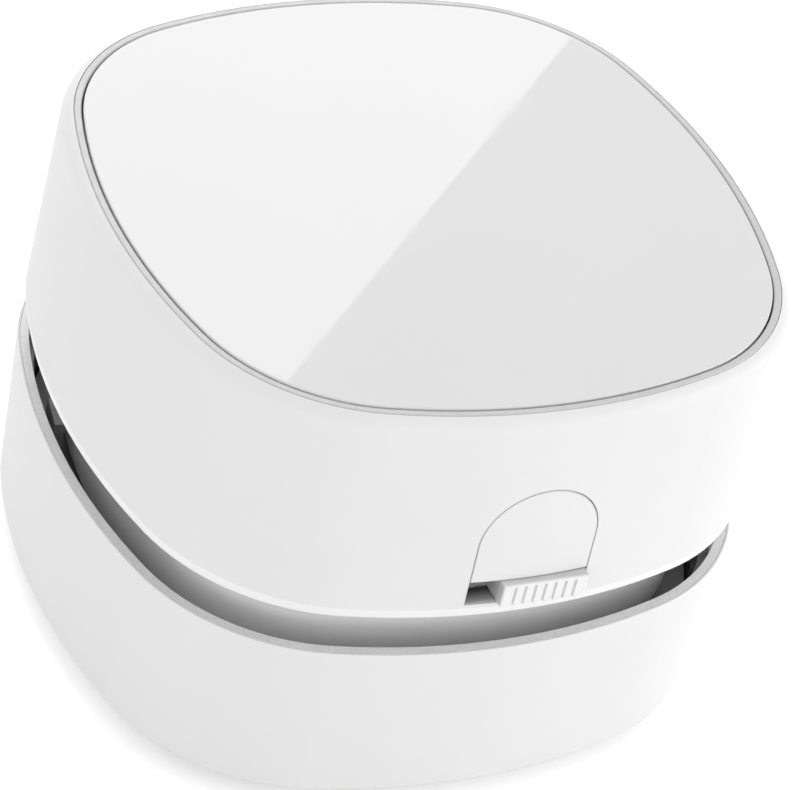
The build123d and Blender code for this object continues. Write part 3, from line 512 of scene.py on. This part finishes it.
def silver_paint(name, colour, metallic, roughness, fleck):
    """Sprayed silver: fine metal flakes that catch the light unevenly."""
    material, tree, shader = new_finish(name, colour, roughness, metallic)
    flakes = between(tree, cells(tree, fleck * mm), 0.1, 0.6)
    dull = patches(tree, 2.2 * mm, 3.0)
    body = blend_colours(tree, flakes, scaled(colour, 0.93), scaled(colour, 1.07))
    body = tinted(tree, body, dull, 0.35, scaled(colour, 0.90))
    body = blend_colours(tree, edge_rub(tree, 0.15 * mm, 2.0 * mm), body, scaled(colour, 1.15))
    rough = between(tree, dull, 0.0, 1.0, roughness - 0.05, roughness + 0.06)
    coat(tree, shader, body, rough, cells(tree, fleck * mm), 0.0015 * mm)
    return material


def metal(name, colour, roughness, grooves=None, axis="Z", stains=0.08):
    """Bare or plated metal: turning or rolling marks, dull patches, bright edges."""
    material, tree, shader = new_finish(name, colour, roughness, 1.0)
    dull = between(tree, cloud(tree, 3.5 * mm, 4.0), 0.35, 0.7)
    body = blend_colours(tree, dull, scaled(colour, 1.04), scaled(colour, 1 - stains))
    body = blend_colours(tree, edge_rub(tree, 0.12 * mm, 1.5 * mm), body, scaled(colour, 1.2))
    rough = between(tree, dull, 0.0, 1.0, roughness - 0.05, roughness + 0.12)
    if grooves:
        coat(tree, shader, body, rough, rings(tree, grooves * mm, axis), 0.003 * mm, 0.6)
    else:
        coat(tree, shader, body, rough, cloud(tree, 0.25 * mm), 0.002 * mm)
    return material


def rubber(name, colour):
    """Soft rubber: matt, a little dusty, with faint moulding grain."""
    material, tree, shader = new_finish(name, colour, 0.75, ior=1.45)
    dust = between(tree, cloud(tree, 2.5 * mm, 5.0), 0.4, 0.75)
    body = tinted(tree, colour, dust, 0.4, scaled(colour, 1.7))
    rough = between(tree, dust, 0.0, 1.0, 0.68, 0.85)
    coat(tree, shader, body, rough, cloud(tree, 0.2 * mm, 3.0), 0.006 * mm)
    return material


def fibres(name, colour, length, thickness, depth):
    """Pressed fibres lying every way: felt and filter fleece."""
    material, tree, shader = new_finish(name, colour, 0.95, ior=1.4)
    shader.inputs["Sheen Weight"].default_value = 0.25
    stretch = (length / thickness, 1.0, 1.0)
    strands = None
    for turn in (0.3, 1.35, 2.4):
        layer = cloud(tree, thickness * mm, 1.0, stretch=stretch, turn=(0.2, 0.1, turn))
        strands = layer if strands is None else math(tree, "MAXIMUM", strands, layer)
    open_weave = between(tree, strands, 0.5, 0.78)
    clumps = patches(tree, 2.4 * mm, 3.0)
    body = blend_colours(tree, open_weave, scaled(colour, 0.72), scaled(colour, 1.08))
    body = tinted(tree, body, clumps, 0.3, scaled(colour, 0.85))
    coat(tree, shader, body, between(tree, clumps, 0.0, 1.0, 0.88, 0.98), open_weave, depth * mm)
    return material


def nylon_strands():
    """Drawn nylon, slightly clear, a little paler towards some strands."""
    colour = (0.06, 0.06, 0.065)
    material, tree, shader = new_finish("bristle_nylon", colour, 0.38, ior=1.53)
    strand = between(tree, cloud(tree, 0.35 * mm, 1.0, stretch=(1.0, 1.0, 12.0)), 0.35, 0.65)
    body = blend_colours(tree, strand, scaled(colour, 0.6), scaled(colour, 2.2))
    rough = between(tree, strand, 0.0, 1.0, 0.3, 0.5)
    coat(tree, shader, body, rough, cloud(tree, 0.06 * mm, 1.0), 0.001 * mm)
    return material


# ---- Wires, board and battery film ----

wire_pitch = 0.3 * mm
board_weave = 0.5 * mm
red_side = 2.0 * mm  # leads on this side of the middle go to the positive contact
film_band = 14.0 * mm  # start of the light band, from the middle of the cell
film_line = (12.5 * mm, 13.0 * mm)  # the printed line below it
plus_mark = 19.0 * mm
minus_mark = -19.5 * mm
mark_arm = 2.2 * mm
mark_stroke = 0.45 * mm
print_edge = 0.1 * mm


def wound_wire():
    """Enamelled copper wire laid side by side round a pole, with painted shade between the turns."""
    colour = (0.72, 0.30, 0.12)
    material, tree, shader = new_finish("enamelled_copper", colour, 0.28, 1.0)
    turns = rings(tree, wire_pitch)
    stained = patches(tree, 1.2 * mm, 2.0)
    # Painted shade between the turns of wire.
    body = blend_colours(tree, turns, scaled(colour, 0.35), colour)
    body = tinted(tree, body, stained, 0.4, (0.55, 0.16, 0.06))
    coat(tree, shader, body, between(tree, stained, 0.0, 1.0, 0.22, 0.36), turns, 0.06 * mm)
    return material


def lead_insulation():
    """PVC of the leads: red on the side that goes to the positive contact, black on the other."""
    material, tree, shader = new_finish("lead_insulation", (0.5, 0.02, 0.02), 0.42)
    positive = between(tree, axes_of(tree)["X"], red_side - 0.1 * mm, red_side + 0.1 * mm)
    body = blend_colours(tree, positive, (0.018, 0.018, 0.02), (0.52, 0.018, 0.014))
    dull = patches(tree, 1.5 * mm, 3.0)
    body = tinted(tree, body, dull, 0.15, (0.25, 0.2, 0.2))
    rough = between(tree, dull, 0.0, 1.0, 0.35, 0.5)
    coat(tree, shader, body, rough, cloud(tree, 0.3 * mm), 0.004 * mm)
    return material


def circuit_board():
    """Green solder mask over woven glass, with paler copper tracks upright in some areas and level
    in others."""
    green = (0.02, 0.16, 0.06)
    material, tree, shader = new_finish("board_green", green, 0.3)
    weave = times(tree, rings(tree, board_weave, "X"), rings(tree, board_weave))
    area = cloud(tree, 5.0 * mm, 0.0)
    upright = times(tree, above(tree, rings(tree, 1.3 * mm, "X"), 0.84), above(tree, area, 0.5))
    level = times(tree, above(tree, rings(tree, 1.6 * mm), 0.88), below(tree, area, 0.47))
    tracks = math(tree, "MAXIMUM", upright, level)
    body = blend_colours(tree, weave, scaled(green, 0.8), scaled(green, 1.2))
    body = blend_colours(tree, tracks, body, (0.06, 0.29, 0.11))
    coat(tree, shader, body, patches(tree, 2.0 * mm, 2.0, 0.22, 0.38), tracks, 0.03 * mm)
    return material


def cell_film(name, middle, radius, plus_end):
    """Printed film of a battery: dark body, light band at the positive end, plus and minus marks."""
    dark, pale = (0.035, 0.037, 0.042), (0.62, 0.63, 0.64)
    material, tree, shader = new_finish(name, dark, 0.3)
    axes = axes_of(tree, middle=middle)
    along = times(tree, axes["Y"], float(plus_end))
    angle = math(tree, "ARCTAN2", axes["X"], axes["Z"])
    girth = size_of(tree, times(tree, angle, radius))

    def bar(centre, half_along, half_round):
        offset = size_of(tree, math(tree, "SUBTRACT", along, centre))
        return times(tree, below(tree, offset, half_along), below(tree, girth, half_round))

    band = between(tree, along, film_band - print_edge, film_band)
    start, end = film_line
    line = times(tree, between(tree, along, start - print_edge, start),
                 between(tree, along, end + print_edge, end))
    plus = math(tree, "MAXIMUM", bar(plus_mark, mark_arm, mark_stroke),
                bar(plus_mark, mark_stroke, mark_arm))
    printed = math(tree, "MAXIMUM", line, bar(minus_mark, mark_stroke, mark_arm))
    body = blend_colours(tree, math(tree, "MAXIMUM", band, printed), dark, pale)
    body = blend_colours(tree, plus, body, dark)
    scuffs = between(tree, cloud(tree, 1.2 * mm, 4.0, stretch=(1.0, 6.0, 1.0)), 0.55, 0.75)
    body = tinted(tree, body, scuffs, 0.15, grey(0.3))
    rough = between(tree, scuffs, 0.0, 1.0, 0.22, 0.42)
    coat(tree, shader, body, rough, cloud(tree, 2.5 * mm), 0.01 * mm)
    return material


# ---- Finish of each piece ----


def paint(material, *nodes):
    """Gives those pieces the finish."""
    for name in nodes:
        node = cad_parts[name]
        node.data.materials.clear()
        node.data.materials.append(material)


paint(shell_plastic(), "head_shell", "cup_shell", "switch_plate")
paint(knob_plastic(), "switch_knob")
paint(gloss_sheet(), "top_panel")
paint(silver_paint("trim_ring_silver", grey(0.58), 0.12, 0.42, 0.22), "trim_ring")
paint(silver_paint("rim_band_silver", grey(0.82), 0.1, 0.42, 0.3), "rim_band")
paint(moulded("waist_grey", grey(0.94), 0.5, grain=0.2, depth=0.002), "waist_frame")
paint(moulded("tray_grey", (0.55, 0.56, 0.57), 0.48, grain=0.2, depth=0.002), "battery_tray")
paint(moulded("carrier_grey", (0.62, 0.62, 0.63), 0.48, grain=0.18, depth=0.002), "lid_carrier")
paint(moulded("fan_grey", (0.42, 0.43, 0.44), 0.4, flow=7.0, uneven=0.03), "fan_rotor")
paint(moulded("cup_smoke", (0.10, 0.10, 0.104), 0.3, flow=10.0, uneven=0.05, rub=0.3), "dust_cup")
paint(moulded("base_grey", (0.50, 0.51, 0.52), 0.5, grain=0.22, depth=0.003), "base_plate")
paint(moulded("duct_grey", (0.40, 0.41, 0.42), 0.5, grain=0.22, depth=0.003), "inlet_duct")
paint(moulded("filter_frame_grey", (0.46, 0.47, 0.48), 0.5), "filter_frame")
paint(moulded("filter_plate_grey", (0.28, 0.28, 0.285), 0.46), "filter_plate")
paint(moulded("housing_white", (0.72, 0.72, 0.71), 0.46), "fan_housing")
paint(moulded("inlet_plate_white", (0.72, 0.72, 0.71), 0.46), "fan_inlet_plate")
paint(moulded("holder_black", (0.03, 0.03, 0.032), 0.45), "brush_holders")
paint(moulded("end_cap_black", (0.025, 0.025, 0.027), 0.5, grain=0.3, depth=0.004), "motor_end_cap")
paint(moulded("switch_black", (0.03, 0.03, 0.032), 0.42), "switch_body", "switch_stem")
paint(rubber("seal_rubber", (0.10, 0.10, 0.105)), "filter_seal")
paint(rubber("sleeve_rubber", (0.07, 0.07, 0.075)), "motor_sleeve")
paint(fibres("foot_felt", (0.20, 0.20, 0.205), 1.6, 0.09, 0.06), "foot_pads")
paint(metal("can_steel", (0.62, 0.62, 0.61), 0.28, 0.5), "motor_can")
paint(metal("shaft_steel", grey(0.66), 0.16, 0.2), "motor_shaft")
paint(metal("screw_zinc", (0.68, 0.69, 0.72), 0.26),
      "base_screws", "inlet_screws", "motor_screws", "deck_screws", "tray_screws")
paint(metal("ferrite", (0.10, 0.10, 0.105), 0.55, stains=0.25), "motor_magnets")
paint(metal("lamination_steel", (0.42, 0.42, 0.43), 0.38, 0.35), "armature")
paint(metal("contact_nickel", (0.72, 0.70, 0.66), 0.2),
      "motor_terminals", "battery_springs", "end_contacts", "bridge_contact")
paint(metal("magnet_nickel", (0.70, 0.69, 0.67), 0.18), "lid_magnets")
paint(metal("keeper_steel", (0.56, 0.56, 0.57), 0.3, 0.4, "X"), "lid_keepers")
paint(metal("sintered_bronze", (0.55, 0.38, 0.20), 0.42, stains=0.2), "motor_bushes")
paint(metal("brush_copper", (0.74, 0.40, 0.24), 0.3, 0.25, "X"), "motor_brushes")
paint(metal("commutator_copper", (0.76, 0.42, 0.26), 0.24, 0.18), "commutator")
paint(wound_wire(), "armature_coils")
paint(lead_insulation(), "lead_wires")
paint(circuit_board(), "switch_board")

# ---- Modelling by hand ----

near = 0.001 * mm  # places closer than this are the same


def start():
    """Nothing selected, in object mode, so that the next primitive stands alone."""
    if bpy.context.object and bpy.context.object.mode != "OBJECT":
        bpy.ops.object.mode_set(mode="OBJECT")
    bpy.ops.object.select_all(action="DESELECT")


def pick(kind, test):
    """In edit mode, selects the faces, edges or vertices whose middle passes the test."""
    bpy.ops.mesh.select_mode(type=kind)
    bpy.ops.mesh.select_all(action="DESELECT")
    mesh = bmesh.from_edit_mesh(bpy.context.object.data)
    if kind == "FACE":
        for face in mesh.faces:
            face.select_set(test(face.calc_center_median(), face.normal))
    elif kind == "EDGE":
        for edge in mesh.edges:
            edge.select_set(test((edge.verts[0].co + edge.verts[1].co) / 2, edge))
    else:
        for vertex in mesh.verts:
            vertex.select_set(test(vertex.co, vertex))
    mesh.select_flush_mode()
    bmesh.update_edit_mesh(bpy.context.object.data)


def finish_piece(name, material, body, slot_name, *stands_for, angle=35.0):
    """Applies the piece's place, smooths it, gives it its finish and mounts it on its body."""
    piece = bpy.context.object
    if piece.mode != "OBJECT":
        bpy.ops.object.mode_set(mode="OBJECT")
    bpy.ops.object.transform_apply(location=True, rotation=True, scale=True)
    bpy.ops.object.shade_smooth_by_angle(angle=radians(angle))
    piece.name = name
    piece.data.name = name
    piece.data.materials.clear()
    piece.data.materials.append(material)
    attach(piece, body)
    if stands_for:
        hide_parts(*stands_for)


def copy_of(piece):
    """A copy with its own mesh."""
    twin = piece.copy()
    twin.data = piece.data.copy()
    bpy.context.scene.collection.objects.link(twin)
    return twin


def join(pieces):
    """Joins the pieces into the first one."""
    start()
    for piece in pieces:
        piece.select_set(True)
    bpy.context.view_layer.objects.active = pieces[0]
    bpy.ops.object.join()
    return pieces[0]


# ---- Bristle tufts ----

tuft_count = 15
tuft_radius = 0.42 * mm
tuft_lean = 0.07  # of the outermost strands, in radians
strip_edge = 0.6 * mm  # middle of a tuft to the edges of its strip
strands_in_tuft = 22
strand_radius = 0.075 * mm
golden_angle = 2.39996  # turn from strand to strand that fills a tuft evenly
tip_width = 0.45  # share of the strand's width
tip_bend = 0.38 * mm
middle_bend = 0.12 * mm


def make_strand(length):
    """One bristle, drawn in towards its tip and bent to one side."""
    start()
    bpy.ops.mesh.primitive_cylinder_add(
        vertices=5, radius=strand_radius, depth=length, location=(0, 0, length / 2))
    bpy.ops.object.transform_apply(location=True)
    strand = bpy.context.object
    bpy.ops.object.mode_set(mode="EDIT")
    for share in (0.35, 0.7):
        bpy.ops.mesh.select_all(action="SELECT")
        bpy.ops.mesh.bisect(plane_co=(0, 0, length * share), plane_no=(0, 0, 1))
    pick("VERT", lambda at, vertex: at.z < length * 0.01)
    bpy.ops.transform.resize(value=(tip_width, tip_width, 1.0), center_override=(0, 0, 0))
    bpy.ops.transform.translate(value=(tip_bend, 0, 0))
    pick("VERT", lambda at, vertex: length * 0.3 < at.z < length * 0.4)
    bpy.ops.transform.translate(value=(middle_bend, 0, 0))
    bpy.ops.object.mode_set(mode="OBJECT")
    return strand


def make_tuft(length, chance):
    """Strands whose roots are close together at the top and whose tips flare outwards."""
    strand = make_strand(length)
    strands = []
    for index in range(strands_in_tuft):
        spread = sqrt((index + 0.5) / strands_in_tuft)
        turn = index * golden_angle
        root = Vector((cos(turn), sin(turn), 0)) * spread * tuft_radius
        lean = Matrix.Rotation(tuft_lean * spread, 4, Vector((sin(turn), -cos(turn), 0)))
        top = Matrix.Translation((root.x, root.y, length))
        spin = Matrix.Rotation(turn + chance.uniform(-0.8, 0.8), 4, "Z")
        hang = Matrix.Translation((0, 0, -length * chance.uniform(0.96, 1.0)))
        twin = copy_of(strand)
        twin.data.transform(top @ lean @ hang @ spin)
        strands.append(twin)
    bpy.data.objects.remove(strand)
    return join(strands)


def make_bristles():
    """Tufts set in both brush strips; each fans out towards the desk."""
    low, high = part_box("bristles")
    chance = Random(11)
    tuft = make_tuft(high.z - low.z, chance)
    tufts = []
    pitch = (high.x - low.x - 2 * strip_edge) / (tuft_count - 1)
    for row in (low.y + strip_edge, high.y - strip_edge):
        for index in range(tuft_count):
            twin = copy_of(tuft)
            hole = Matrix.Translation((low.x + strip_edge + index * pitch, row, low.z))
            twin.data.transform(hole @ Matrix.Rotation(chance.uniform(0, 2 * pi), 4, "Z"))
            tufts.append(twin)
    bpy.data.objects.remove(tuft)
    join(tufts)
    finish_piece("bristle_tufts", nylon_strands(), "cup", "nylon", "bristles")


# ---- Pleated filter medium ----

pleats = 30
pleat_rise = 0.75  # share of the medium's thickness
fleece_wall = 0.16 * mm
fleece_gap = 0.05 * mm  # edge of the fleece to its frame
sheet_margin = 0.5 * mm  # sheet beyond the disc, which is cut away
cutter_facets = 160


def make_filter_fleece():
    """A disc of fleece folded into soft pleats, cut round to sit in its frame."""
    low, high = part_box("filter_medium")
    middle = (low + high) / 2
    radius = (high.x - low.x) / 2
    thickness = high.z - low.z
    width = 2 * (radius + sheet_margin)
    step = width / (2 * pleats)
    left = middle.x - width / 2
    start()
    bpy.ops.mesh.primitive_grid_add(
        x_subdivisions=2 * pleats, y_subdivisions=12, size=width, location=middle)
    bpy.ops.object.transform_apply(location=True)
    fleece = bpy.context.object
    bpy.ops.object.mode_set(mode="EDIT")
    for parity, rise in ((0, pleat_rise), (1, -pleat_rise)):
        pick("VERT", lambda at, vertex: round((at.x - left) / step) % 2 == parity)
        bpy.ops.transform.translate(value=(0, 0, rise * thickness))
    bpy.ops.object.mode_set(mode="OBJECT")
    soften = fleece.modifiers.new("soften", "SUBSURF")
    soften.levels = soften.render_levels = 2
    wall = fleece.modifiers.new("wall", "SOLIDIFY")
    wall.thickness = fleece_wall
    wall.offset = 0.0
    for modifier in ("soften", "wall"):
        bpy.ops.object.modifier_apply(modifier=modifier)
    start()
    bpy.ops.mesh.primitive_cylinder_add(
        vertices=cutter_facets, radius=radius - fleece_gap, depth=thickness, location=middle)
    cutter = bpy.context.object
    start()
    fleece.select_set(True)
    bpy.context.view_layer.objects.active = fleece
    cut = fleece.modifiers.new("cut", "BOOLEAN")
    cut.operation = "INTERSECT"
    cut.object = cutter
    bpy.ops.object.modifier_apply(modifier="cut")
    bpy.data.objects.remove(cutter)
    material = fibres("filter_fleece", (0.80, 0.80, 0.78), 1.2, 0.07, 0.03)
    finish_piece(
        "filter_fleece", material, "filter", "filter_fleece", "filter_medium", angle=60.0)


# ---- Batteries ----

cell_facets = 96
button_height = 1.3 * mm
button_radius = 2.75 * mm
hub_radius = 4.1 * mm
hub_rise = 0.3 * mm
plus_rim = 1.5 * mm
plus_sink = 0.35 * mm
base_rim = 1.9 * mm
base_sink = 0.25 * mm
can_gap = 0.14 * mm  # outside of the film to the can
can_end = 0.15 * mm  # end of the film to the end of the can
can_rounding = 0.12 * mm
film_wall = 0.1 * mm
film_lip = 1.3 * mm
film_rounding = 0.5 * mm


def add_bar(radius, length):
    """A round bar upright about the origin, in edit mode."""
    start()
    bpy.ops.mesh.primitive_cylinder_add(
        vertices=cell_facets, radius=radius, depth=length, location=(0, 0, 0))
    bpy.ops.object.mode_set(mode="EDIT")
    return bpy.context.object


def rim_radius(edge):
    """Radius of the rim that an edge is part of, or 0 where it doesn't run round the bar."""
    first, second = (vertex.co for vertex in edge.verts)
    level = abs(first.z - second.z) < near
    is_round = abs(first.xy.length - second.xy.length) < near
    return first.xy.length if level and is_round else 0.0


def raise_face(height):
    bpy.ops.mesh.extrude_region_move(TRANSFORM_OT_translate={"value": (0, 0, height)})


def lay_down(piece, middle, plus_end):
    """Lays the upright piece along the tray, its plus end to the back (1) or to the front (-1)."""
    piece.rotation_euler = (-plus_end * pi / 2, 0, 0)
    piece.location = middle


def make_cell_film(side, radius, length, middle, plus_end):
    """The printed film, open at both ends and shrunk over the can's edges."""
    film = add_bar(radius, length)
    pick("FACE", lambda at, normal: abs(normal.z) > 0.9)
    bpy.ops.mesh.inset(thickness=film_lip, use_individual=True)
    bpy.ops.mesh.delete(type="FACE")
    pick("EDGE", lambda at, edge: rim_radius(edge) > radius - near)
    bpy.ops.mesh.bevel(offset=film_rounding, segments=5, affect="EDGES")
    bpy.ops.object.mode_set(mode="OBJECT")
    wall = film.modifiers.new("wall", "SOLIDIFY")
    wall.thickness = film_wall
    bpy.ops.object.modifier_apply(modifier="wall")
    lay_down(film, middle, plus_end)
    name = "battery_film_" + side
    material = cell_film(name, middle, radius, plus_end)
    finish_piece(name, material, "head", "cell_wrap", "battery_" + side)


def make_cell_can(side, radius, length, middle, plus_end):
    """The steel can: a sunk plus end with its hub and button, and a dished base."""
    outside = radius - can_gap
    can = add_bar(outside, length - 2 * can_end)
    pick("FACE", lambda at, normal: normal.z > 0.9)
    bpy.ops.mesh.inset(thickness=plus_rim)
    raise_face(-plus_sink)
    bpy.ops.mesh.inset(thickness=outside - plus_rim - hub_radius)
    raise_face(hub_rise)
    bpy.ops.mesh.inset(thickness=hub_radius - button_radius)
    raise_face(button_height + can_end + plus_sink - hub_rise)
    pick("FACE", lambda at, normal: normal.z < -0.9)
    bpy.ops.mesh.inset(thickness=base_rim)
    raise_face(base_sink)
    rims = (outside, outside - plus_rim, hub_radius, button_radius, outside - base_rim)
    pick("EDGE", lambda at, edge: any(abs(rim_radius(edge) - rim) < 0.02 * mm for rim in rims))
    bpy.ops.mesh.bevel(offset=can_rounding, segments=3, affect="EDGES")
    bpy.ops.object.mode_set(mode="OBJECT")
    lay_down(can, middle, plus_end)
    name = "battery_can_" + side
    finish_piece(name, metal(name, (0.70, 0.70, 0.69), 0.22, 0.3, "Y"), "head", "cell_wrap")


def make_cell(side, plus_end):
    """An AA cell: a steel can with its button and dished base, in a printed film."""
    low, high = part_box("battery_" + side)
    middle = (low + high) / 2
    radius = (high.x - low.x) / 2
    length = high.y - low.y - button_height
    body_middle = Vector((middle.x, middle.y - plus_end * button_height / 2, middle.z))
    make_cell_film(side, radius, length, body_middle, plus_end)
    make_cell_can(side, radius, length, body_middle, plus_end)


make_bristles()
make_filter_fleece()
make_cell("left", 1)
make_cell("right", -1)

bpy.context.scene.view_settings.view_transform = "Standard"
